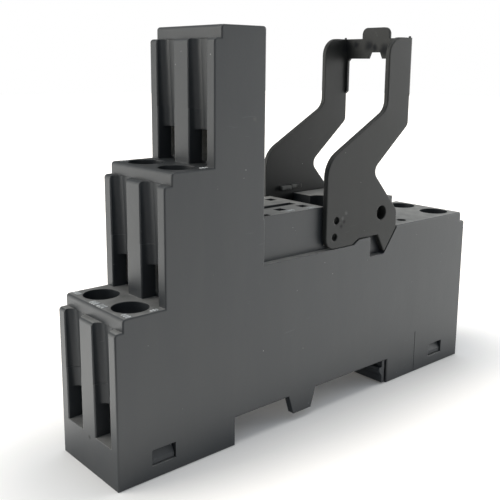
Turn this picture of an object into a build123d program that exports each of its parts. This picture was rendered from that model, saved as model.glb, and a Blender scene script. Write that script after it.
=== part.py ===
from build123d import *
import os

os.makedirs("parts", exist_ok=True)

# Relay socket for a 35 mm rail, in millimetres. The low terminal tiers stand at -X, the clip swings
# towards +X, and the origin is under the middle of the body, on the surface that it stands on.

# Overall body
length = 78.5
width = 15.5
low_top = 24.3
terminal_drop = 18.6
tower_extra = 0.85
mid_top = low_top + terminal_drop
tower_top = mid_top + terminal_drop + tower_extra
right_top = low_top + 5.1
seat_top = low_top + 10.25
corner_round = 0.5
rim_round = 0.25
rib_chamfer = 0.15

left = -length / 2
right = length / 2
side = width / 2

# Screw wells and the chambers under them
axis_inset = 4.85
well_radius = 2.65
chamber_front = 2.45
chamber_back = 3.5
chamber_below = 0.7
chamber_under_head = 0.2

# Stepped end faces, with ribs below a set-back band
low_face = left
mid_face = low_face + 8.05
tower_face = mid_face + 8.45
tower_back_wall = 1.1
tower_back = tower_face + axis_inset + chamber_back + tower_back_wall
rib_depth = 1.25
band_height = 1.8
outer_rib = 1.85
mid_rib = 3.3
slot_width = (width - 2 * outer_rib - mid_rib) / 2
slot_depth_high = 1.4
slot_depth_low = 1.9
slot_round = 1.2
slot_step = 0.07
slot_step_above = 3.0

# Relay seat, which runs on a little past the relay that stands on it
pin_pitch = 5.0
pin_row = 3.75
pin_inset = 1.85
relay_end = 1.95
relay_gap = 0.15
relay_length = pin_inset + 5 * pin_pitch + relay_end
relay_face = tower_back + relay_length + relay_gap
seat_beyond_relay = 2.5
seat_end = relay_face + seat_beyond_relay
first_pin = tower_back + pin_inset
pin_x = {"top": first_pin, "mid": first_pin + pin_pitch, "low": first_pin + 2 * pin_pitch,
         "coil": first_pin + 5 * pin_pitch}
pin_slot = 1.6
seat_plate = 1.5
trough_from_pin = 2.3
trough_width = 5.7
trough_depth = 6.5
trough_left = pin_x["low"] + trough_from_pin
trough_right = trough_left + trough_width
trough_floor = seat_top - trough_depth
notch_radius = 2.3
groove_width = 1.6
groove_depth = 1.1
groove_offset = -0.95
groove_margin = 0.5
groove_short = 1.7
key_notch = (1.5, 1.1, 0.7)
key_from_tower = 1.2
key_from_wall = 0.2
probe_radius = 0.9
probe_depth = 3.0
probe_inset = 2.4
probe_from_seat = 4.4

# Rail channel in the underside
rail_width = 35.0
channel_left = left + 20.5
channel_height = 4.5
channel_gap = 1.0
channel_right = channel_left + rail_width + channel_gap
tab_left = channel_left + 11.3
tab_width = 5.95
tab_taper = 1.0
tab_drop = 3.15
tab_thickness = 1.2
tab_root = 0.5
seam_from_channel = 7.9
seam_height = 8.0
seam_width = 0.15
seam_depth = 0.1

# Walls and inner spaces. Over is how far a cut reaches past the surface that it opens.
over = 1.0
wall = 1.3
core_wall = 0.95
arm_thickness = 0.85
arm_inset = 0.05
arm_gap = 0.35
recess_depth = arm_inset + arm_thickness + arm_gap
cavity_inner = 0.6
cavity_outer = side - recess_depth - 0.9
fit = 0.1
cover_thickness = 1.5
cover_half = side - wall
passage_gap = 0.2
pole_mid_wall = 1.45
pole_low_roof = 1.9
pole_tower_wall = 0.9
pole_end_wall = 1.3
pole_from_right = 9.5

# Base cover: rail hook at the left, spring tongue at the right
hook_reach = 1.0
hook_low = 2.6
hook_high = channel_height - 1.2
tongue_set_in = 1.2
tongue_plate = 0.6
tongue_nose = 0.7
tongue_foot = 0.3
tongue_side_gap = 0.15

# Terminals: well, screw, clamp cage and the chamber round them, all measured from the tier's top
pitch = width / 2
terminal_y = pitch / 2
head_gap = 0.25
head_radius = well_radius - head_gap
head_height = 2.0
head_drop = 2.4
head_round = 0.6
head_below = 0.3
screw_slot_width = 0.8
screw_slot_depth = 1.0
shank_radius = 1.5
shank_chamfer = 0.3
running_gap = 0.05
window_height = 4.9
chamber_width = pitch - 2 * core_wall
cage_gap = 0.15
cage_length = 4.6
cage_wall = 0.5
cage_round = 1.2
cage_top_round = 0.4
cage_floor = 0.8
cage_roof = 1.4
cage_travel = 3.0
cage_head_gap = 0.8
cage_floor_step = 0.35
cage_width = chamber_width - 2 * cage_gap
tongue_thickness = 0.8
tongue_above_window = 0.2
tip_gap = 0.05

# Contact strips: bent strips that end in a fork under a relay slot
strip_gap = 0.675
strip_width = cage_width - 2 * cage_wall - 2 * strip_gap
strip_bend = 0.9
leg_offset = 3.0
tongue_reach = 2.2
fork_length = 2.2
fork_slit = 0.6
fork_height = 3.5
fork_gap = 0.1
run_drop = {"top": 6.35, "mid": 9.95, "low": 16.15, "coil": 14.55}

# Clip that swings on two hollow stubs
pivot_x = relay_face - 1.8
pivot_z = seat_top - 2.35
stub_radius = 1.8
stub_hole_radius = 1.25
stub_length = 1.15
stub_hole_depth = 1.7
bar_height = 3.5
bar_thickness = 0.55
bar_proud = 0.2
bar_corner = 0.5
gusset_depth = 0.45
gusset_height = 9.8
finger_width = 6.1
finger_height = 1.9
finger_round = 1.2
lift_rib_length = 2.3
lift_rib_split = 0.15
lift_rib_step = 0.1
lift_rib_height = 0.7
lift_rib_depth = 0.7
mark_radius = 0.65
mark_depth = 0.6
arm_rim_round = 0.15
bar_notch = (1.6, 1.1, 1.1)
nib_radius = 0.2
nib_height = 0.25
nib_from_back = 0.3
gusset_slope = 0.45
lift_rib_above = 0.75
lift_rib_from_pivot = 10.4
arm_top = 29.5
arm_back = 6.27
lobe_reach = 4.2
recess_gap = 0.1

# Snap windows low on the sides, with the base cover's lugs in them
window_size = (4.0, 2.4)
window_z = 3.15
window_left_x = left + 7.45
window_right_x = right - 7.45
lug_gap = 0.15
lug_reach = 1.15
lug_lead = 0.45
lug_nose = 0.7
snap_thickness = 1.0
snap_below = 0.7
snap_space = 0.5


def block(x0, x1, y0, y1, z0, z1, mode=Mode.ADD):
    """Add or cut a block between two corners."""
    with Locations(((x0 + x1) / 2, (y0 + y1) / 2, (z0 + z1) / 2)):
        Box(abs(x1 - x0), abs(y1 - y0), abs(z1 - z0), mode=mode)


def mirrored(y0, y1):
    """The same band on both sides of the middle plane."""
    return (y0, y1), (-y1, -y0)


def slot_corners(t, z, half_width):
    """A wire slot seen from above, open at the tier's face, with a fine chamfer along its mouth."""
    band_z = t.top - band_height
    depth = slot_depth_high + (slot_depth_low - slot_depth_high) * (band_z - z) / (band_z - t.window_top)
    outside = t.face - t.toward * rib_depth
    chamfered = t.face + t.toward * rib_chamfer
    back = t.face + t.toward * depth
    mouth = half_width + rib_chamfer + rib_depth
    return [(outside, t.y - mouth), (chamfered, t.y - half_width), (back, t.y - half_width),
            (back, t.y + half_width), (chamfered, t.y + half_width), (outside, t.y + mouth)]


class Terminal:
    """Where one terminal of a tier lies. Toward is +1 where the body lies at +X of the tier's face."""

    def __init__(self, tier, near_far, face, top, sill, toward):
        self.name = f"{tier}_{near_far}"
        self.tier = tier
        self.y = -terminal_y if near_far == "near" else terminal_y
        self.face = face
        self.top = top
        self.sill = sill
        self.toward = toward
        self.axis = face + toward * axis_inset
        self.window_top = sill + window_height
        self.tongue_z = self.window_top + tongue_above_window + tongue_thickness / 2
        self.cage_base = sill - cage_floor + cage_floor_step
        self.leg = self.axis + toward * leg_offset


tiers = {
    "low": (low_face, low_top, low_top - terminal_drop, 1),
    "mid": (mid_face, mid_top, low_top, 1),
    "top": (tower_face, tower_top, mid_top, 1),
    "coil": (right, right_top, right_top - terminal_drop, -1),
}
terminals = [Terminal(tier, near_far, *place)
             for tier, place in tiers.items() for near_far in ("near", "far")]


# Clip outline, seen from the near side: each corner's place from the pivot, and its rounding
clip_corners = [
    (-13.67, -4.65, 2.0),
    (-13.67, 9.80, 4.6),
    (0.50, 17.65, 2.5),
    (0.50, arm_top, 3.0),
    (arm_back, arm_top, 0.3),
    (arm_back, 14.78, 1.2),
    (-2.60, 7.42, 1.5),
    (lobe_reach, 0.0, 1.6),
    (lobe_reach, -3.20, 0.3),
    (1.20, -7.10, 0.2),
    (-0.70, -3.80, 0.3),
    (-5.70, -3.80, 0.4),
    (-7.30, -4.65, 0.4),
]
clip_back = pivot_x + arm_back + bar_proud
clip_top = pivot_z + arm_top
marks = [(-11.3, 0.0), (-11.7, -2.7)]

# Recess in each side for the clip's arm. Its pocket stops the foot, its ledge carries the arm's lobe.
ledge = pivot_z - 4.75
ledge_high = pivot_z - 4.0
pocket_wall = pivot_x - 2.7
pocket_floor = pivot_z - 7.45
recess_corners = [
    (tower_back, ledge),
    (pivot_x - 6.9, ledge),
    (pivot_x - 5.6, ledge_high),
    (pocket_wall, ledge_high),
    (pocket_wall, pocket_floor),
    (pivot_x + 1.05, pocket_floor),
    (pivot_x + lobe_reach + recess_gap, pivot_z - 3.25),
    (pivot_x + lobe_reach + recess_gap, tower_top),
    (tower_back, tower_top),
]


# Housing: the stepped moulding
with BuildPart() as housing:
    with BuildSketch(Plane.XZ):
        with BuildLine():
            Polyline(
                (left, 0),
                (channel_left, 0),
                (channel_left, channel_height),
                (channel_right, channel_height),
                (channel_right, 0),
                (right, 0),
                (right, right_top - band_height),
                (right - rib_depth, right_top - band_height),
                (right - rib_depth, right_top),
                (seat_end, right_top),
                (seat_end, seat_top),
                (trough_right, seat_top),
                (trough_right, trough_floor),
                (trough_left, trough_floor),
                (trough_left, seat_top),
                (tower_back, seat_top),
                (tower_back, tower_top),
                (tower_face + rib_depth, tower_top),
                (tower_face + rib_depth, tower_top - band_height),
                (tower_face, tower_top - band_height),
                (tower_face, mid_top),
                (mid_face + rib_depth, mid_top),
                (mid_face + rib_depth, mid_top - band_height),
                (mid_face, mid_top - band_height),
                (mid_face, low_top),
                (low_face + rib_depth, low_top),
                (low_face + rib_depth, low_top - band_height),
                (low_face, low_top - band_height),
                close=True,
            )
        make_face()
    extrude(amount=side, both=True)

    # Softened outer corners of the tiers and their ribs, then the rims of the two side faces
    outer_corners = [place for face, top, sill, toward in tiers.values()
                     for place in ((face, top - band_height), (face + toward * rib_depth, top))]
    outer_corners.append((tower_back, tower_top))
    corners = housing.edges().filter_by(Axis.Y).filter_by(
        lambda e: any(abs(e.center().X - x) < 0.01 and abs(e.center().Z - z) < 0.01
                      for x, z in outer_corners))
    fillet(corners, corner_round)
    rims = housing.faces().filter_by(Axis.Y).edges()
    fillet(rims, rim_round)

    # Recesses for the clip's arms
    for y0, direction in ((-side, 1), (side, -1)):
        with BuildSketch(Plane.XZ.offset(-y0)):
            with BuildLine():
                Polyline(*recess_corners, close=True)
            make_face()
        extrude(amount=-direction * recess_depth, mode=Mode.SUBTRACT)

    # Space for the base cover, and the hollows above it in the two end blocks
    block(left + wall, channel_left + over, -cover_half, cover_half, -over, channel_height - snap_space,
          mode=Mode.SUBTRACT)
    block(channel_left - cover_thickness - fit, channel_right + cover_thickness + fit,
          -cover_half, cover_half, channel_height - over, channel_height + cover_thickness + fit,
          mode=Mode.SUBTRACT)
    block(channel_right - over, right - wall, -cover_half, cover_half, -over, 2 * channel_height,
          mode=Mode.SUBTRACT)

    # One inner space for each pole, under the relay seat
    space_floor = channel_height + cover_thickness
    low_fork_end = pin_x["low"] + fork_length / 2 + passage_gap
    for y0, y1 in mirrored(cavity_inner, cavity_outer):
        with BuildSketch(Plane.XZ.offset(-y0)):
            with BuildLine():
                Polyline(
                    (mid_face + pole_mid_wall, space_floor),
                    (mid_face + pole_mid_wall, low_top - pole_low_roof),
                    (tower_face + pole_tower_wall, low_top - pole_low_roof),
                    (tower_face + pole_tower_wall, seat_top - seat_plate),
                    (low_fork_end, seat_top - seat_plate),
                    (low_fork_end, trough_floor - wall),
                    (trough_right + notch_radius + wall, trough_floor - wall),
                    (trough_right + notch_radius + wall, seat_top - seat_plate),
                    (seat_end - pole_end_wall, seat_top - seat_plate),
                    (seat_end - pole_end_wall, right_top - seat_plate),
                    (right - pole_from_right, right_top - seat_plate),
                    (right - pole_from_right, space_floor),
                    close=True,
                )
            make_face()
        extrude(amount=-(y1 - y0), mode=Mode.SUBTRACT)

    # Wire slots between the ribs: the back slopes inwards on its way down, the inner corners are rounded, and
    # the sides have a fine step low down
    for t in terminals:
        step_z = t.window_top + slot_step_above
        for z0, z1, half_width in ((t.sill, step_z, slot_width / 2 - slot_step),
                                   (step_z, t.top - band_height, slot_width / 2)):
            for z in (z0, z1):
                with BuildSketch(Plane.XY.offset(z)) as slot:
                    with BuildLine():
                        Polyline(*slot_corners(t, z, half_width), close=True)
                    make_face()
                    fillet(slot.vertices().group_by(Axis.X)[-1 if t.toward > 0 else 0], slot_round)
            loft(ruled=True, mode=Mode.SUBTRACT)

    for t in terminals:
        # Screw well, chamber and the wire entry in the slot's floor
        with Locations((t.axis, t.y, t.top)):
            Hole(well_radius, depth=head_drop + head_height + head_below)
        block(t.axis - t.toward * chamber_front, t.axis + t.toward * chamber_back,
              t.y - chamber_width / 2, t.y + chamber_width / 2,
              t.sill - chamber_below, t.top - head_drop - head_height - chamber_under_head,
              mode=Mode.SUBTRACT)
        block(t.face, t.axis, t.y - slot_width / 2 + slot_step, t.y + slot_width / 2 - slot_step,
              t.sill, t.window_top, mode=Mode.SUBTRACT)

        # Passages for the strip: down its leg, then along its run
        run_z = seat_top - run_drop[t.tier]
        half = tongue_thickness / 2 + passage_gap
        y0 = t.y - strip_width / 2 - passage_gap
        y1 = t.y + strip_width / 2 + passage_gap
        leg_low = min(run_z, t.tongue_z) - half
        leg_high = max(run_z, t.tongue_z) + half
        block(t.leg - half, t.leg + half, y0, y1, leg_low, leg_high, mode=Mode.SUBTRACT)
        block(pin_x[t.tier] - fork_length / 2 - passage_gap, pin_x[t.tier] + fork_length / 2 + passage_gap,
              y0, y1, seat_top - seat_plate - fork_gap - fork_height - passage_gap, seat_top - seat_plate,
              mode=Mode.SUBTRACT)
        block(t.leg - t.toward * half, pin_x[t.tier], y0, y1, run_z - half, run_z + half,
              mode=Mode.SUBTRACT)

        # Slot for the relay's pin, over the fork
        pin_y = pin_row if t.y > 0 else -pin_row
        block(pin_x[t.tier] - pin_slot / 2, pin_x[t.tier] + pin_slot / 2,
              pin_y - pin_slot / 2, pin_y + pin_slot / 2, seat_top - seat_plate - fork_gap, seat_top + over,
              mode=Mode.SUBTRACT)

    # Groove between the pin rows, notches by the tower, thumb notch, probe holes in the right tier
    block(tower_back + groove_margin, trough_left - groove_short, groove_offset - groove_width / 2,
          groove_offset + groove_width / 2, seat_top - groove_depth, seat_top + over, mode=Mode.SUBTRACT)
    key_outer = side - recess_depth - key_from_wall
    for y0, y1 in mirrored(key_outer - key_notch[1], key_outer):
        block(tower_back + key_from_tower, tower_back + key_from_tower + key_notch[0], y0, y1,
              seat_top - key_notch[2], seat_top + over, mode=Mode.SUBTRACT)
    with Locations((trough_right, 0, seat_top)):
        Cylinder(notch_radius, 2 * (seat_top - trough_floor), mode=Mode.SUBTRACT)
    for y in (-side + probe_inset, side - probe_inset):
        with Locations((seat_end + probe_from_seat, y, right_top)):
            Hole(probe_radius, depth=probe_depth)

    # Pivot bores in both recess walls, and the snap windows for the base cover
    for offset in (side, -side):
        with Locations(Plane.XZ.offset(offset)):
            with Locations((pivot_x, pivot_z)):
                Cylinder(stub_radius + running_gap, 2 * (side - cavity_outer + running_gap), mode=Mode.SUBTRACT)
    for x in (window_left_x, window_right_x):
        block(x - window_size[0] / 2, x + window_size[0] / 2, -side - over, side + over,
              window_z - window_size[1] / 2, window_z + window_size[1] / 2, mode=Mode.SUBTRACT)

    # Fine seam up each side of the right block
    seam_x = channel_right + seam_from_channel
    for y0, y1 in mirrored(side - seam_depth, side + over):
        block(seam_x, seam_x + seam_width, y0, y1, -over, seam_height, mode=Mode.SUBTRACT)

    # Tapered tabs that hang from both side walls into the hollow of the rail
    for y0, y1 in mirrored(side - tab_thickness, side):
        with BuildSketch(Plane.XZ.offset(-y0)):
            with BuildLine():
                Polyline(
                    (tab_left, channel_height + tab_root),
                    (tab_left, channel_height),
                    (tab_left + tab_taper, channel_height - tab_drop),
                    (tab_left + tab_width - tab_taper, channel_height - tab_drop),
                    (tab_left + tab_width, channel_height),
                    (tab_left + tab_width, channel_height + tab_root),
                    close=True,
                )
            make_face()
        extrude(amount=-(y1 - y0))
housing.part.label = "housing"
export_step(housing.part, "parts/housing.step")


# Base cover: a bent plate that closes the underside, with the rail hook, the spring tongue and four lugs
cover_left = left + wall + fit
cover_right = right - wall - fit
cover_side = cover_half - fit
tongue_left = channel_right - tongue_set_in
with BuildPart() as base_cover:
    with BuildSketch(Plane.XZ):
        with BuildLine():
            Polyline(
                (cover_left, 0),
                (channel_left, 0),
                (channel_left, hook_low - hook_reach),
                (channel_left + hook_reach, hook_low),
                (channel_left + hook_reach, hook_high),
                (channel_left, hook_high),
                (channel_left, channel_height),
                (channel_right, channel_height),
                (channel_right, 0),
                (cover_right, 0),
                (cover_right, cover_thickness),
                (channel_right + cover_thickness, cover_thickness),
                (channel_right + cover_thickness, channel_height + cover_thickness - fit),
                (channel_left - cover_thickness, channel_height + cover_thickness - fit),
                (channel_left - cover_thickness, cover_thickness),
                (cover_left, cover_thickness),
                close=True,
            )
        make_face()
    extrude(amount=cover_side, both=True)

    # Spring tongue: a thin wall that stands free of the right block, with a nose under the rail's edge
    with BuildSketch(Plane.XZ):
        with BuildLine():
            Polyline(
                (tongue_left, channel_height),
                (tongue_left, hook_high),
                (tongue_left - tongue_nose, hook_high),
                (tongue_left - tongue_nose, hook_low),
                (tongue_left, hook_low - hook_reach),
                (tongue_left, tongue_foot),
                (tongue_left + tongue_plate, tongue_foot),
                (tongue_left + tongue_plate, channel_height),
                close=True,
            )
        make_face()
    extrude(amount=side - tongue_side_gap, both=True)

    # Upright snap tongues, each with a lug in a window of the housing. The lug slopes in towards its top, to
    # slide in from below.
    for x in (window_left_x, window_right_x):
        half = window_size[0] / 2 - lug_gap
        lug_low = window_z - window_size[1] / 2 + lug_gap
        lug_high = window_z + window_size[1] / 2 - lug_gap
        for y0, y1 in mirrored(cover_side - snap_thickness, cover_side):
            block(x - half, x + half, y0, y1, cover_thickness, channel_height - snap_below)
        for direction in (-1, 1):
            with BuildSketch(Plane.YZ.offset(x - half)):
                with BuildLine():
                    Polyline(
                        (direction * cover_side, lug_low),
                        (direction * (cover_side + lug_reach), lug_low),
                        (direction * (cover_side + lug_reach), lug_low + lug_nose),
                        (direction * (cover_side + lug_lead), lug_high),
                        (direction * cover_side, lug_high),
                        close=True,
                    )
                make_face()
            extrude(amount=2 * half)
base_cover.part.label = "base_cover"
export_step(base_cover.part, "parts/base_cover.step")


# Retaining clip: two arms, the bar with its finger tab across their backs, stubs and lifting ribs
arm_outer = side - arm_inset
arm_inner = arm_outer - arm_thickness
with BuildPart() as clip:
    for y0 in (-arm_outer, arm_inner):
        with BuildSketch(Plane.XZ.offset(-y0)):
            with BuildLine():
                FilletPolyline(*[(pivot_x + dx, pivot_z + dz) for dx, dz, _ in clip_corners],
                               radius=[r for _, _, r in clip_corners], close=True)
            make_face()
        extrude(amount=-arm_thickness)
    outer_faces = [face for face in clip.faces().filter_by(Axis.Y)
                   if abs(face.center().Y) > (arm_inner + arm_outer) / 2]
    fillet([edge for face in outer_faces for edge in face.edges()], arm_rim_round)

    # Bar across the backs of the arms, notched in the middle of its lower edge. It stands a little proud of
    # the arms, and so do the gussets that run down from it.
    rib_side = arm_outer - arm_rim_round
    block(clip_back - bar_thickness, clip_back, -rib_side, rib_side, clip_top - bar_height, clip_top)
    with BuildSketch(Plane.YZ.offset(clip_back - bar_thickness)):
        with BuildLine():
            Polyline((-bar_notch[0], clip_top - bar_height),
                     (-bar_notch[1], clip_top - bar_height + bar_notch[2]),
                     (bar_notch[1], clip_top - bar_height + bar_notch[2]),
                     (bar_notch[0], clip_top - bar_height), close=True)
        make_face()
    extrude(amount=bar_thickness, mode=Mode.SUBTRACT)

    # Gussets that run down the back of each arm from the bar, with a rounded corner under the bar
    for direction in (-1, 1):
        inside = arm_inner - gusset_depth
        low = clip_top - bar_height
        with BuildSketch(Plane.YZ.offset(clip_back - bar_thickness)):
            with BuildLine():
                Polyline(
                    (direction * rib_side, low),
                    (direction * (inside - bar_corner), low),
                    (direction * inside, low - bar_corner),
                    (direction * inside, clip_top - gusset_height + gusset_slope),
                    (direction * arm_inner, clip_top - gusset_height),
                    (direction * rib_side, clip_top - gusset_height),
                    close=True,
                )
            make_face()
        extrude(amount=bar_thickness)

    # Finger tab on top of the bar
    with BuildSketch(Plane.YZ.offset(clip_back - bar_thickness)):
        with Locations((0, clip_top + finger_height / 2 - finger_round / 2)):
            RectangleRounded(finger_width, finger_height + finger_round, finger_round)
    extrude(amount=bar_thickness)

    # Moulding marks: a nib on the top back corner of each arm
    for y in (-arm_outer + arm_thickness / 2, arm_outer - arm_thickness / 2):
        with Locations((clip_back - nib_from_back, y, clip_top)):
            Cylinder(nib_radius, 2 * nib_height)

    # Ribs on the inner faces that lift the relay, and the marks in the outer faces
    for direction in (-1, 1):
        y0 = direction * arm_inner
        for number in (0, 1):
            x0 = pivot_x - lift_rib_from_pivot + number * (lift_rib_length + lift_rib_split)
            z0 = seat_top + lift_rib_above + number * lift_rib_step
            block(x0, x0 + lift_rib_length, y0, y0 - direction * lift_rib_depth, z0, z0 + lift_rib_height)
        stub_middle = direction * (arm_outer + arm_inner - stub_length) / 2
        with Locations(Plane.XZ.offset(-stub_middle)):
            with Locations((pivot_x, pivot_z)):
                Cylinder(stub_radius, arm_thickness + stub_length)
    for y0 in (-arm_outer, arm_outer):
        with Locations(Plane.XZ.offset(-y0)):
            with Locations((pivot_x, pivot_z)):
                Cylinder(stub_hole_radius, 2 * stub_hole_depth, mode=Mode.SUBTRACT)
            with Locations(*[(pivot_x + dx, pivot_z + dz) for dx, dz in marks]):
                Cylinder(mark_radius, 2 * mark_depth, mode=Mode.SUBTRACT)
clip.part.label = "retaining_clip"
export_step(clip.part, "parts/retaining_clip.step")


# Terminals: each has a screw, a clamp cage that rises on it, and a contact strip
for t in terminals:
    head_top = t.top - head_drop
    head_under = head_top - head_height
    tip_z = t.tongue_z + tongue_thickness / 2 + tip_gap
    with BuildPart() as screw:
        with Locations((t.axis, t.y, head_under + head_height / 2)):
            Cylinder(head_radius, head_height)
        fillet(screw.edges().sort_by(Axis.Z)[-1], head_round)
        block(t.axis - head_radius, t.axis + head_radius, t.y - screw_slot_width / 2,
              t.y + screw_slot_width / 2, head_top - screw_slot_depth, head_top + over, mode=Mode.SUBTRACT)
        with Locations((t.axis, t.y, (tip_z + head_under) / 2)):
            Cylinder(shank_radius, head_under - tip_z)
        chamfer(screw.edges().sort_by(Axis.Z)[0], shank_chamfer)
    screw.part.label = f"terminal_screw_{t.name}"
    export_step(screw.part, f"parts/{screw.part.label}.step")

    roof_top = head_under - cage_travel - cage_head_gap
    with BuildPart() as cage:
        block(t.axis - cage_length / 2, t.axis + cage_length / 2,
              t.y - cage_width / 2, t.y + cage_width / 2, t.cage_base, roof_top)
        fillet(cage.edges().filter_by(Axis.X).sort_by(Axis.Z)[:2], cage_round)
        fillet(cage.edges().filter_by(Axis.X).sort_by(Axis.Z)[-2:], cage_top_round)
        block(t.axis - cage_length, t.axis + cage_length,
              t.y - cage_width / 2 + cage_wall, t.y + cage_width / 2 - cage_wall,
              t.cage_base + cage_floor, roof_top - cage_roof, mode=Mode.SUBTRACT)
        with Locations((t.axis, t.y, roof_top)):
            Hole(shank_radius + running_gap, depth=cage_roof + over)
    cage.part.label = f"clamp_cage_{t.name}"
    export_step(cage.part, f"parts/{cage.part.label}.step")

    run_z = seat_top - run_drop[t.tier]
    fork_top = seat_top - seat_plate - fork_gap
    x_pin = pin_x[t.tier]
    with BuildPart() as strip:
        with BuildSketch(Plane.XZ.offset(-(t.y - strip_width / 2))) as path:
            with BuildLine():
                FilletPolyline(
                    (t.axis - t.toward * tongue_reach, t.tongue_z),
                    (t.leg, t.tongue_z),
                    (t.leg, run_z),
                    (x_pin, run_z),
                    (x_pin, fork_top - fork_height + tongue_thickness / 2),
                    radius=strip_bend,
                )
            trace(line_width=tongue_thickness)
            with Locations((x_pin, fork_top - fork_height / 2)):
                Rectangle(fork_length, fork_height)
            with Locations((x_pin, fork_top)):
                Rectangle(fork_slit, 2 * (fork_height - tongue_thickness), mode=Mode.SUBTRACT)
        extrude(amount=-strip_width)
    strip.part.label = f"contact_strip_{t.name}"
    export_step(strip.part, f"parts/{strip.part.label}.step")
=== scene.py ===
import math

import bpy
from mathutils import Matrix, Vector


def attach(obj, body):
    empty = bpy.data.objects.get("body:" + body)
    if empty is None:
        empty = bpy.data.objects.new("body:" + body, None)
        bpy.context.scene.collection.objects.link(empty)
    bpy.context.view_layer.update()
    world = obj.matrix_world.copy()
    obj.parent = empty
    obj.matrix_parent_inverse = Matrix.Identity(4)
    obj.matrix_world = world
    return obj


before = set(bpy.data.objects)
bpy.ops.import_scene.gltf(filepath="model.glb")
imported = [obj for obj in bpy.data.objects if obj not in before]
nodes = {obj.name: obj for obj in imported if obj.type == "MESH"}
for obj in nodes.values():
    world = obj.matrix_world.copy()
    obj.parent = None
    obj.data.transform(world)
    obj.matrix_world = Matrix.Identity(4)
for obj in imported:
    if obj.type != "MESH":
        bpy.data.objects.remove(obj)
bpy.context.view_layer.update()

MM = 0.001

# Levels of the object's top faces, in mm
LOW_TOP = 24.3
SEAT_TOP = 34.55
MID_TOP = 42.9


# Node helpers

def new_material(name):
    """A material with an empty node tree, its Principled shader and its output."""
    material = bpy.data.materials.new(name)
    material.use_nodes = True
    tree = material.node_tree
    tree.nodes.clear()
    output = tree.nodes.new("ShaderNodeOutputMaterial")
    shader = tree.nodes.new("ShaderNodeBsdfPrincipled")
    tree.links.new(shader.outputs["BSDF"], output.inputs["Surface"])
    return material, tree, shader


def math_node(tree, operation, a, b=None, c=None, clamp=False):
    """A Math node; each input is a socket or a number."""
    node = tree.nodes.new("ShaderNodeMath")
    node.operation = operation
    node.use_clamp = clamp
    for index, value in enumerate((a, b, c)):
        if value is None:
            continue
        if isinstance(value, (int, float)):
            node.inputs[index].default_value = value
        else:
            tree.links.new(value, node.inputs[index])
    return node.outputs[0]


def product(tree, a, b):
    """Two values multiplied; each is a socket or a number."""
    return math_node(tree, "MULTIPLY", a, b)


def vector_node(tree, operation, vector, other=None):
    """A Vector Math node; other is a socket or three numbers. Gives its number where it has one."""
    node = tree.nodes.new("ShaderNodeVectorMath")
    node.operation = operation
    tree.links.new(vector, node.inputs[0])
    if isinstance(other, tuple):
        node.inputs[1].default_value = other
    elif other is not None:
        tree.links.new(other, node.inputs[1])
    gives_number = operation in ("DOT_PRODUCT", "DISTANCE", "LENGTH")
    return node.outputs["Value" if gives_number else "Vector"]


def axis_of(tree, vector, axis):
    """One axis of a vector, as a number."""
    node = tree.nodes.new("ShaderNodeSeparateXYZ")
    tree.links.new(vector, node.inputs[0])
    return node.outputs[axis]


def noise(tree, vector, size_mm, detail=2.0, roughness=0.5, distortion=0.0):
    """Noise whose features are about size_mm across."""
    node = tree.nodes.new("ShaderNodeTexNoise")
    node.inputs["Scale"].default_value = 1.0 / (size_mm * MM)
    node.inputs["Detail"].default_value = detail
    node.inputs["Roughness"].default_value = roughness
    node.inputs["Distortion"].default_value = distortion
    tree.links.new(vector, node.inputs["Vector"])
    return node.outputs["Fac"]


def spots(tree, vector, size_mm, radius, share, shift):
    """Sparse round specks: 1 inside a speck, 0 outside. Share is how many cells hold one."""
    cells = tree.nodes.new("ShaderNodeTexVoronoi")
    cells.feature = "F1"
    cells.inputs["Scale"].default_value = 1.0 / (size_mm * MM)
    tree.links.new(vector_node(tree, "ADD", vector, shift), cells.inputs["Vector"])
    split = tree.nodes.new("ShaderNodeSeparateColor")
    tree.links.new(cells.outputs["Color"], split.inputs["Color"])
    near = math_node(tree, "LESS_THAN", cells.outputs["Distance"], radius)
    chosen = math_node(tree, "LESS_THAN", split.outputs["Red"], share)
    return product(tree, near, chosen)


def ramp(tree, value, low, high, out_low=0.0, out_high=1.0):
    """Maps low..high to out_low..out_high, clamped."""
    node = tree.nodes.new("ShaderNodeMapRange")
    node.interpolation_type = "SMOOTHSTEP"
    node.inputs["From Min"].default_value = low
    node.inputs["From Max"].default_value = high
    node.inputs["To Min"].default_value = out_low
    node.inputs["To Max"].default_value = out_high
    tree.links.new(value, node.inputs["Value"])
    return node.outputs["Result"]


def mix_color(tree, fac, a, b):
    """A colour mix by a socket; a and b are sockets or colours."""
    node = tree.nodes.new("ShaderNodeMix")
    node.data_type = "RGBA"
    tree.links.new(fac, node.inputs["Factor"])
    for name, value in (("A", a), ("B", b)):
        socket = [s for s in node.inputs if s.name == name and s.type == "RGBA"][0]
        if isinstance(value, tuple):
            socket.default_value = (*value, 1.0)
        else:
            tree.links.new(value, socket)
    return [s for s in node.outputs if s.type == "RGBA"][0]


def object_vector(tree, stretch=(1.0, 1.0, 1.0)):
    """Place on the piece, in metres, stretched along each axis."""
    coordinates = tree.nodes.new("ShaderNodeTexCoord")
    return vector_node(tree, "MULTIPLY", coordinates.outputs["Object"], stretch)


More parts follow.
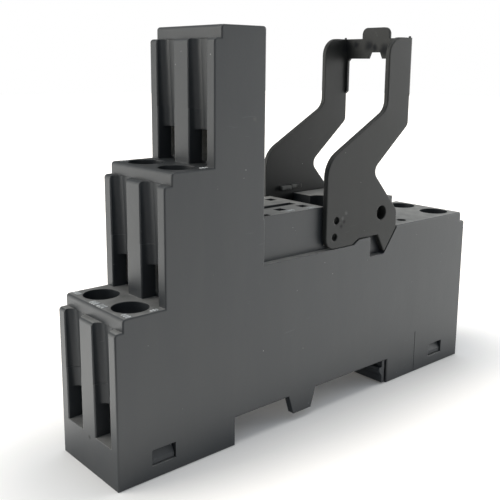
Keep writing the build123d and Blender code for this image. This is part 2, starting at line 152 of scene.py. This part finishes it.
def edge_mask(tree, radius_mm, low, high, outer_only=False):
    """1 along sharp edges, from how far a rounded normal leans away from the true one. With outer_only,
    inner corners stay 0, because they see less open space."""
    rounded = tree.nodes.new("ShaderNodeBevel")
    rounded.samples = 6
    rounded.inputs["Radius"].default_value = radius_mm * MM
    geometry = tree.nodes.new("ShaderNodeNewGeometry")
    alike = vector_node(tree, "DOT_PRODUCT", rounded.outputs["Normal"], geometry.outputs["Normal"])
    mask = ramp(tree, math_node(tree, "SUBTRACT", 1.0, alike), low, high)
    if outer_only:
        openness = tree.nodes.new("ShaderNodeAmbientOcclusion")
        openness.samples = 4
        openness.inputs["Distance"].default_value = 0.5 * MM
        mask = product(tree, mask, ramp(tree, openness.outputs["AO"], 0.72, 0.92))
    return mask, rounded.outputs["Normal"]


def add_bump(tree, shader, height, strength, distance_mm, normal=None):
    """Fine relief on the shader's normal."""
    bump = tree.nodes.new("ShaderNodeBump")
    bump.inputs["Strength"].default_value = strength
    bump.inputs["Distance"].default_value = distance_mm * MM
    tree.links.new(height, bump.inputs["Height"])
    if normal is not None:
        tree.links.new(normal, bump.inputs["Normal"])
    tree.links.new(bump.outputs["Normal"], shader.inputs["Normal"])


# Materials

# Painted sheen: a pale beige tint on the top faces, where the bright studio is mirrored at grazing angles
TOP_SHEEN_TINT = (0.31, 0.30, 0.278)
TOP_SHEEN_SHARE_LOW_TIER = 0.75
TOP_SHEEN_SHARE_HIGH_TIERS = 0.06
DUST_TINT = (0.34, 0.34, 0.32)
DULLING_LIMIT = 0.03


def painted_top_sheen(tree, place, top_sheen):
    """How much painted sheen lies on the top faces, in patches: most on the seat and the right block, least
    on the high tiers.
    """
    coordinates = tree.nodes.new("ShaderNodeTexCoord")
    upward = ramp(tree, axis_of(tree, coordinates.outputs["Normal"], "Z"), 0.8, 0.98)
    height = axis_of(tree, place, "Z")
    above_low_tier = ramp(tree, height, 0.025, 0.029, top_sheen * TOP_SHEEN_SHARE_LOW_TIER, top_sheen)
    above_seat = ramp(tree, height, 0.036, 0.041, 1.0, TOP_SHEEN_SHARE_HIGH_TIERS)
    sheen_patches = ramp(tree, noise(tree, place, 2.2, 4.0, 0.6), 0.25, 0.75, 0.55, 0.95)
    return product(tree, sheen_patches, product(tree, upward, product(tree, above_low_tier, above_seat)))


def moulded_plastic(name, dark, pale, base_roughness, grain, dust=0.012, top_sheen=0.0, shine=0.5, rim_rub_and_highlight=0.15,
                    rim_mm=0.16, stains_and_painted_marks=()):
    """Charcoal moulded plastic: blotchy tone, spark-eroded grain, dust specks, edges paled over rim_mm, at
    least as much as the rim amount, as rubbing together with a painted edge highlight. The sheen amount
    paints a pale sheen on its top faces. Each stain or painted mark is a place, a radius in mm and a colour,
    and the darkest ones are dull too."""
    material, tree, shader = new_material(name)
    place = object_vector(tree)
    streaked = object_vector(tree, (1.0, 1.0, 0.25))

    cloud = ramp(tree, noise(tree, place, 14.0, 3.0), 0.3, 0.7)
    flow = ramp(tree, noise(tree, streaked, 4.0, 2.0, 0.6, 0.4), 0.35, 0.7)
    tone = math_node(tree, "MULTIPLY_ADD", flow, 0.35, product(tree, cloud, 0.5))
    fine = math_node(tree, "SUBTRACT", noise(tree, place, 0.35, 2.0), 0.5)
    tone = math_node(tree, "MULTIPLY_ADD", fine, 0.5, tone, clamp=True)
    color = mix_color(tree, tone, dark, pale)

    # Edges paled: rubbed wear together with a painted highlight along the rims
    edge, round_normal = edge_mask(tree, rim_mm, 0.01, 0.16, outer_only=True)
    rubbed_and_rim_highlight = product(tree, edge, ramp(tree, noise(tree, place, 1.6, 3.0), 0.40, 0.66, rim_rub_and_highlight, 1.0))
    rub_and_highlight_color = tuple(min(1.0, c * 2.1 + 0.02) for c in pale)
    color = mix_color(tree, product(tree, rubbed_and_rim_highlight, 0.5), color, rub_and_highlight_color)

    # Painted sheen on the top faces
    if top_sheen:
        color = mix_color(tree, painted_top_sheen(tree, place, top_sheen), color, TOP_SHEEN_TINT)
    dulled = 0.0
    for centre, radius_mm, tint in stains_and_painted_marks:
        apart = vector_node(tree, "DISTANCE", place, centre)
        radius = radius_mm * MM
        ragged = math_node(tree, "MULTIPLY_ADD", noise(tree, place, radius_mm, 2.0), radius, apart)
        inside = ramp(tree, ragged, radius * 0.6, radius * 1.6, 0.85, 0.0)
        color = mix_color(tree, inside, color, tint)
        if sum(tint) < DULLING_LIMIT:
            dulled = math_node(tree, "MAXIMUM", inside, dulled)

    specks = spots(tree, place, 1.9, 0.055, dust * 8.0, (0.0, 0.0, 0.0))
    small = spots(tree, place, 0.8, 0.09, dust * 2.2, (0.031, 0.017, 0.043))
    dusty = math_node(tree, "MAXIMUM", specks, small)
    color = mix_color(tree, product(tree, dusty, 0.5), color, DUST_TINT)

    scratch_line = noise(tree, object_vector(tree, (0.18, 1.0, 1.6)), 0.55, 1.0, 0.4, 0.6)
    scratch_area = ramp(tree, noise(tree, place, 9.0, 1.0), 0.52, 0.62)
    scratches = product(tree, ramp(tree, scratch_line, 0.70, 0.76), scratch_area)
    color = mix_color(tree, product(tree, scratches, 0.22), color, rub_and_highlight_color)
    tree.links.new(color, shader.inputs["Base Color"])

    rough = math_node(tree, "MULTIPLY_ADD", cloud, 0.06, base_roughness)
    rough = math_node(tree, "MULTIPLY_ADD", rubbed_and_rim_highlight, -0.08, rough)
    rough = math_node(tree, "MULTIPLY_ADD", dulled, 0.35, rough)
    rough = math_node(tree, "MULTIPLY_ADD", dusty, 0.2, rough, clamp=True)
    tree.links.new(rough, shader.inputs["Roughness"])
    shader.inputs["IOR"].default_value = 1.5
    shader.inputs["Specular IOR Level"].default_value = shine

    ripple = product(tree, noise(tree, place, 1.1, 2.0), 1.2)
    relief = math_node(tree, "MULTIPLY_ADD", noise(tree, place, 0.16, 2.0), 0.7, ripple)
    relief = math_node(tree, "MULTIPLY_ADD", dusty, 0.8, relief)
    add_bump(tree, shader, relief, grain, 0.02, round_normal)
    return material


def plated_metal(name, bright, dull, base_roughness, stretch, rim_glint_grey=None):
    """Plated metal: rolled or turned streaks, dull patches, fine pits and rubbed edges. Where a rim grey is
    given, the edges are wider and paled to that grey level: rubbing together with a painted glint along the
    rims."""
    material, tree, shader = new_material(name)
    place = object_vector(tree)
    streak = noise(tree, object_vector(tree, stretch), 0.22, 3.0, 0.6)
    patch = ramp(tree, noise(tree, place, 2.4, 3.0), 0.38, 0.66)
    edge, round_normal = edge_mask(tree, 0.2 if rim_glint_grey else 0.08, 0.01, 0.14)
    tone = math_node(tree, "MULTIPLY_ADD", streak, 0.45, product(tree, patch, 0.5), clamp=True)
    color = mix_color(tree, tone, bright, dull)
    # With a rim grey, the paled edges are a painted glint as well as rubbing
    rubbed_and_glint = (rim_glint_grey, rim_glint_grey, rim_glint_grey) if rim_glint_grey else tuple(min(1.0, c * 1.15) for c in bright)
    color = mix_color(tree, product(tree, edge, 0.8 if rim_glint_grey else 0.6), color, rubbed_and_glint)
    pits = spots(tree, place, 0.5, 0.12, 0.12, (0.011, 0.023, 0.007))
    color = mix_color(tree, product(tree, pits, 0.5), color, tuple(c * 0.4 for c in dull))
    tree.links.new(color, shader.inputs["Base Color"])
    shader.inputs["Metallic"].default_value = 1.0
    rough = math_node(tree, "MULTIPLY_ADD", patch, 0.16, base_roughness)
    rough = math_node(tree, "MULTIPLY_ADD", streak, 0.1, rough, clamp=True)
    tree.links.new(rough, shader.inputs["Roughness"])
    add_bump(tree, shader, math_node(tree, "SUBTRACT", streak, pits), 0.35, 0.01, round_normal)
    return material


# Housing: a nick low on the end face and a pale scrape on the tall tier's side
housing_stains = [((-0.03925, -0.0001, 0.0052), 0.4, (0.004, 0.005, 0.006)),
                  ((-0.0154, -0.00775, 0.0494), 0.45, (0.05, 0.05, 0.047))]
housing_plastic = moulded_plastic("housing_plastic", (0.018, 0.021, 0.024), (0.028, 0.030, 0.031), 0.37, 0.40,
                                  top_sheen=0.95, stains_and_painted_marks=housing_stains)
cover_plastic = moulded_plastic("cover_plastic", (0.024, 0.027, 0.030), (0.034, 0.036, 0.038), 0.44, 0.5,
                                shine=0.36)

# Clip: the gate's painted highlight and painted shade beside the upper stub hole, painted shade along the
# bar, a painted highlight along the lift rib
GATE_PAINTED_HIGHLIGHT = (0.062, 0.062, 0.058)
GATE_PAINTED_SHADE = (0.006, 0.006, 0.007)
BAR_PAINTED_SHADE = (0.004, 0.005, 0.007)
RIB_PAINTED_HIGHLIGHT = (0.15, 0.15, 0.138)
clip_painted_marks = [((0.0040, -0.0077, 0.0324), 0.45, GATE_PAINTED_HIGHLIGHT),
               ((0.0048, -0.0077, 0.0332), 0.45, GATE_PAINTED_HIGHLIGHT),
               ((0.0037, -0.0077, 0.0311), 0.45, GATE_PAINTED_SHADE),
               ((0.0044, -0.0077, 0.0318), 0.45, GATE_PAINTED_SHADE)]
# Painted shade along the bar's front, which is made duller there as well
clip_painted_marks += [((0.0198, y, z), radius_mm, BAR_PAINTED_SHADE)
                for y, z, radius_mm in ((0.0065, 0.0603, 1.5), (0.0045, 0.0606, 0.8), (0.0016, 0.0604, 1.3),
                                        (0.0001, 0.0601, 0.9), (-0.0020, 0.0597, 1.4))]
# A row of painted highlights along the lift rib
clip_painted_marks += [((0.0033 + 0.00055 * step, 0.00615, 0.03573 + 0.00003 * step), 0.65, RIB_PAINTED_HIGHLIGHT)
                for step in range(7)]
# The clip's edges are paled strongly all round: a painted highlight along its rims as well as rubbing
clip_plastic = moulded_plastic("clip_plastic", (0.012, 0.0128, 0.0125), (0.018, 0.0186, 0.0165), 0.46, 0.45,
                               dust=0.006, shine=0.29, rim_rub_and_highlight=0.9, rim_mm=0.26, stains_and_painted_marks=clip_painted_marks)
# The screw steel is darker than plated steel is, as painted shade for screws deep in their wells
screw_steel = plated_metal("screw_steel", (0.36, 0.355, 0.34), (0.22, 0.215, 0.20), 0.34, (1.0, 1.0, 0.2))
# Cage rims paled to a bright grey: a painted glint along them as well as rubbed edges
cage_steel = plated_metal("cage_steel", (0.62, 0.63, 0.63), (0.34, 0.35, 0.36), 0.34, (0.2, 1.0, 1.0), 0.9)
strip_metal = plated_metal("strip_metal", (0.40, 0.38, 0.32), (0.26, 0.24, 0.19), 0.34, (0.25, 1.0, 1.0))

looks = {"housing": housing_plastic, "base_cover": cover_plastic, "retaining_clip": clip_plastic}
for name, piece in nodes.items():
    if name in looks:
        material = looks[name]
    elif name.startswith("terminal_screw"):
        material = screw_steel
    elif name.startswith("clamp_cage"):
        material = cage_steel
    else:
        material = strip_metal
    piece.data.materials.clear()
    piece.data.materials.append(material)


# Small raised pads beside the terminals and the pin slots: short plain strokes, rubbed pale
pad_paint, pad_tree, pad_shader = new_material("pad_paint")
pad_place = object_vector(pad_tree)
pad_tone = ramp(pad_tree, noise(pad_tree, pad_place, 0.45, 3.0), 0.36, 0.62)
pad_tree.links.new(mix_color(pad_tree, pad_tone, (0.32, 0.32, 0.305), (0.58, 0.58, 0.56)),
                   pad_shader.inputs["Base Color"])
pad_tree.links.new(ramp(pad_tree, noise(pad_tree, pad_place, 0.8, 2.0), 0.3, 0.7, 0.5, 0.7),
                   pad_shader.inputs["Roughness"])
add_bump(pad_tree, pad_shader, noise(pad_tree, pad_place, 0.2, 2.0), 0.5, 0.02)

PAD_WIDTH = 0.3
PAD_HEIGHT = 0.09
PAD_SINK = 0.02
PAD_EDGE = 0.04
PAD_ARC_STEPS = 5


def add_stroke(mesh_data, start, end, surface_z):
    """One raised stroke with round ends and a sloped rim, in mm, lying on a level surface."""
    verts, faces = mesh_data
    ax, ay = start
    bx, by = end
    heading = math.atan2(by - ay, bx - ax)
    first = len(verts)
    half = PAD_WIDTH / 2
    rings = ((half, -PAD_SINK), (half, PAD_HEIGHT - PAD_EDGE), (half - PAD_EDGE, PAD_HEIGHT))
    for reach, rise in rings:
        for centre_x, centre_y, turn in ((bx, by, -math.pi / 2), (ax, ay, math.pi / 2)):
            for step in range(PAD_ARC_STEPS + 1):
                angle = heading + turn + math.pi * step / PAD_ARC_STEPS
                verts.append(((centre_x + reach * math.cos(angle)) * MM,
                              (centre_y + reach * math.sin(angle)) * MM,
                              (surface_z + rise) * MM))
    count = 2 * (PAD_ARC_STEPS + 1)
    for ring in range(len(rings) - 1):
        for i in range(count):
            a = first + ring * count + i
            b = first + ring * count + (i + 1) % count
            faces.append((a, b, b + count, a + count))
    faces.append(tuple(first + (len(rings) - 1) * count + i for i in range(count)))
    faces.append(tuple(first + i for i in reversed(range(count))))


def add_mark(name, strokes, surface_z):
    """A group of strokes as one piece that rides on the housing."""
    mesh_data = ([], [])
    for start, end in strokes:
        add_stroke(mesh_data, start, end, surface_z)
    mesh = bpy.data.meshes.new(name)
    mesh.from_pydata(mesh_data[0], [], mesh_data[1])
    mesh.update()
    mesh.materials.append(pad_paint)
    piece = bpy.data.objects.new(name, mesh)
    bpy.context.scene.collection.objects.link(piece)
    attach(piece, "housing")


def row_of_strokes(x, y, along, count, size=0.8, step=0.55):
    """Upright strokes side by side. Along is the way the row runs, as (dx, dy)."""
    dx, dy = along
    starts = [(x + dx * step * index, y + dy * step * index) for index in range(count)]
    return [(start, (start[0] + dy * size, start[1] - dx * size)) for start in starts]


ACROSS = (0, -1)
LENGTHWISE = (1, 0)
mark_rows = [
    ("pad_low_middle", LOW_TOP,
     row_of_strokes(-36.75, 1.45, ACROSS, 3) + row_of_strokes(-36.75, -0.55, ACROSS, 3)),
    ("pad_low_near_corner", LOW_TOP, row_of_strokes(-36.55, -6.15, ACROSS, 3, 0.6)),
    ("pad_low_near_side", LOW_TOP, row_of_strokes(-33.1, -6.9, LENGTHWISE, 3, 0.35, 0.45)),
    ("pad_low_far_corner", LOW_TOP, row_of_strokes(-36.55, 7.0, ACROSS, 3, 0.6)),
    ("pad_mid_near", MID_TOP, row_of_strokes(-24.27, -6.41, LENGTHWISE, 3, 0.4, 0.5)),
    ("pad_mid_far", MID_TOP, row_of_strokes(-28.75, 7.0, LENGTHWISE, 3, 0.4, 0.5)),
    ("pad_seat_first", SEAT_TOP, row_of_strokes(-6.58, -5.16, LENGTHWISE, 4, 0.5, 0.45)),
    ("pad_seat_second", SEAT_TOP, row_of_strokes(-2.26, -5.60, LENGTHWISE, 4, 0.5, 0.45)),
]
for mark_name, mark_z, mark_strokes in mark_rows:
    add_mark(mark_name, mark_strokes, mark_z)


# Floor: one pale sheet. Near the object it shows its own shading and shadow; further out it is plain white
# to the camera, so no horizon shows.
FLOOR_HALF = 1.2
floor_mesh = bpy.data.meshes.new("floor")
floor_mesh.from_pydata([(-FLOOR_HALF, -FLOOR_HALF, 0), (FLOOR_HALF, -FLOOR_HALF, 0),
                        (FLOOR_HALF, FLOOR_HALF, 0), (-FLOOR_HALF, FLOOR_HALF, 0)], [], [(0, 1, 2, 3)])
floor = bpy.data.objects.new("floor", floor_mesh)
floor.location = (0, 0, -0.02 * MM)
bpy.context.scene.collection.objects.link(floor)
floor_paint, floor_tree, floor_shader = new_material("floor_paint")
floor_shader.inputs["Roughness"].default_value = 0.9
floor_shader.inputs["Specular IOR Level"].default_value = 0.1
floor_place = object_vector(floor_tree)

# Distance from the object's long middle line, in metres
BODY_HALF_LENGTH = 0.039
past_end = math_node(floor_tree, "ABSOLUTE", axis_of(floor_tree, floor_place, "X"))
past_end = math_node(floor_tree, "SUBTRACT", past_end, BODY_HALF_LENGTH)
floor_apart = floor_tree.nodes.new("ShaderNodeCombineXYZ")
floor_tree.links.new(math_node(floor_tree, "MAXIMUM", past_end, 0.0), floor_apart.inputs["X"])
floor_tree.links.new(axis_of(floor_tree, floor_place, "Y"), floor_apart.inputs["Y"])
reach = vector_node(floor_tree, "LENGTH", floor_apart.outputs[0])
near_white = ramp(floor_tree, reach, 0.006, 0.034, 0.055, 0.65)
far_white = ramp(floor_tree, reach, 0.10, 0.40, 0.0, 1.0)
white_share = math_node(floor_tree, "MAXIMUM", near_white, far_white)

floor_path = floor_tree.nodes.new("ShaderNodeLightPath")
in_mirror = floor_path.outputs["Is Glossy Ray"]
seen = math_node(floor_tree, "MAXIMUM", floor_path.outputs["Is Camera Ray"],
                 floor_path.outputs["Is Transmission Ray"])

# In reflections the floor is as bright as a lit studio sweep, most of all behind the low end, and dim where
# the photographer stands and right under the object
GLOW_CENTRE = (-0.060, 0.025, 0.0)
STAND_PLACE = (-0.20, -0.10, 0.0)
glow = ramp(floor_tree, vector_node(floor_tree, "DISTANCE", floor_place, GLOW_CENTRE), 0.0, 0.09, 1.8, 1.15)
lit = ramp(floor_tree, vector_node(floor_tree, "DISTANCE", floor_place, STAND_PLACE), 0.13, 0.19, 0.05, 1.0)
clear_of_body = ramp(floor_tree, reach, 0.007, 0.022)
glow = product(floor_tree, product(floor_tree, product(floor_tree, glow, lit), clear_of_body), in_mirror)
mirror_shade = product(floor_tree, math_node(floor_tree, "SUBTRACT", 1.0, lit), in_mirror)

floor_tone = ramp(floor_tree, noise(floor_tree, floor_place, 60.0, 2.0), 0.2, 0.8)
floor_color = mix_color(floor_tree, floor_tone, (0.87, 0.84, 0.80), (0.90, 0.87, 0.83))
floor_tree.links.new(mix_color(floor_tree, mirror_shade, floor_color, (0.12, 0.12, 0.12)),
                     floor_shader.inputs["Base Color"])
floor_tree.links.new(mix_color(floor_tree, in_mirror, (1.0, 0.93, 0.85), (1.0, 0.985, 0.94)),
                     floor_shader.inputs["Emission Color"])
floor_tree.links.new(math_node(floor_tree, "MULTIPLY_ADD", seen, white_share, glow),
                     floor_shader.inputs["Emission Strength"])
floor_mesh.materials.append(floor_paint)


# World: white to the camera, a plain even light on the object
world = bpy.data.worlds.new("studio")
bpy.context.scene.world = world
world.use_nodes = True
world_tree = world.node_tree
world_tree.nodes.clear()
world_out = world_tree.nodes.new("ShaderNodeOutputWorld")
world_path = world_tree.nodes.new("ShaderNodeLightPath")
white_seen = math_node(world_tree, "MAXIMUM", world_path.outputs["Is Camera Ray"],
                       world_path.outputs["Is Transmission Ray"])


def background(color, strength):
    """A Background node; strength is a socket or a number."""
    node = world_tree.nodes.new("ShaderNodeBackground")
    node.inputs["Color"].default_value = (*color, 1.0)
    if isinstance(strength, float):
        node.inputs["Strength"].default_value = strength
    else:
        world_tree.links.new(strength, node.inputs["Strength"])
    return node.outputs[0]


def mix_shader(fac, first, second):
    """A mix of two shaders in the world."""
    node = world_tree.nodes.new("ShaderNodeMixShader")
    world_tree.links.new(fac, node.inputs["Fac"])
    world_tree.links.new(first, node.inputs[1])
    world_tree.links.new(second, node.inputs[2])
    return node.outputs[0]


# The studio as the plastic mirrors it: bright in general, dimmer straight behind the object, at the left up
# to where the camera stands, and a little at the front right. Each side is a direction, the cosines
# at which the dimming starts and ends, and the levels there.
STUDIO_SIDES = (((0.38, 0.92, 0.08), 0.62, 0.95, 0.95, 0.07),
                ((-0.906, -0.42, 0.0), 0.5, 0.82, 1.0, 0.1),
                ((0.60, -0.79, 0.12), 0.5, 0.95, 1.0, 0.6))
world_place = world_tree.nodes.new("ShaderNodeTexCoord")
mirror_level = 1.0
for side, starts, ends, level_off, level_on in STUDIO_SIDES:
    towards = vector_node(world_tree, "DOT_PRODUCT", world_place.outputs["Generated"], side)
    mirror_level = product(world_tree, ramp(world_tree, towards, starts, ends, level_off, level_on),
                           mirror_level)
plain_fill = background((0.84, 0.97, 1.13), 0.44)
mirrored = background((0.98, 1.0, 0.99), mirror_level)
white = background((1.0, 1.0, 1.0), 1.0)
lighting = mix_shader(world_path.outputs["Is Glossy Ray"], plain_fill, mirrored)
world_tree.links.new(mix_shader(white_seen, lighting, white), world_out.inputs["Surface"])


AIM = (0.0, 0.0, 0.03)


def soft_lamp(name, place, size, watts, color):
    """A flat area lamp at place, turned towards the object's middle."""
    data = bpy.data.lights.new(name, "AREA")
    data.shape = "RECTANGLE"
    data.size, data.size_y = size
    data.energy = watts
    data.color = color
    lamp = bpy.data.objects.new(name, data)
    lamp.location = place
    lamp.rotation_euler = (Vector(AIM) - Vector(place)).to_track_quat("-Z", "Y").to_euler()
    bpy.context.scene.collection.objects.link(lamp)


soft_lamp("key", (-0.54, 0.30, 0.24), (0.4, 0.4), 2.3, (1.0, 0.97, 0.91))
soft_lamp("top", (0.0, 0.05, 0.8), (0.7, 0.5), 2.8, (1.0, 0.99, 0.97))
soft_lamp("front", (0.78, -0.27, 0.14), (0.5, 0.5), 3.2, (1.0, 1.0, 0.99))


# Camera at the photograph's place, solved from the object's corners and edges
camera_data = bpy.data.cameras.new("camera")
camera_data.sensor_fit = "HORIZONTAL"
camera_data.sensor_width = 36.0
camera_data.lens = 54.273
camera_data.shift_x = 0.0027
camera_data.shift_y = -0.0709
camera_data.clip_start = 0.005
camera = bpy.data.objects.new("camera", camera_data)
camera.location = (-0.086976, -0.088867, 0.056937)
camera.rotation_euler = [math.radians(angle) for angle in (78.7739, -0.4564, -40.9142)]
bpy.context.scene.collection.objects.link(camera)
bpy.context.scene.camera = camera

bpy.context.scene.view_settings.view_transform = "Standard"
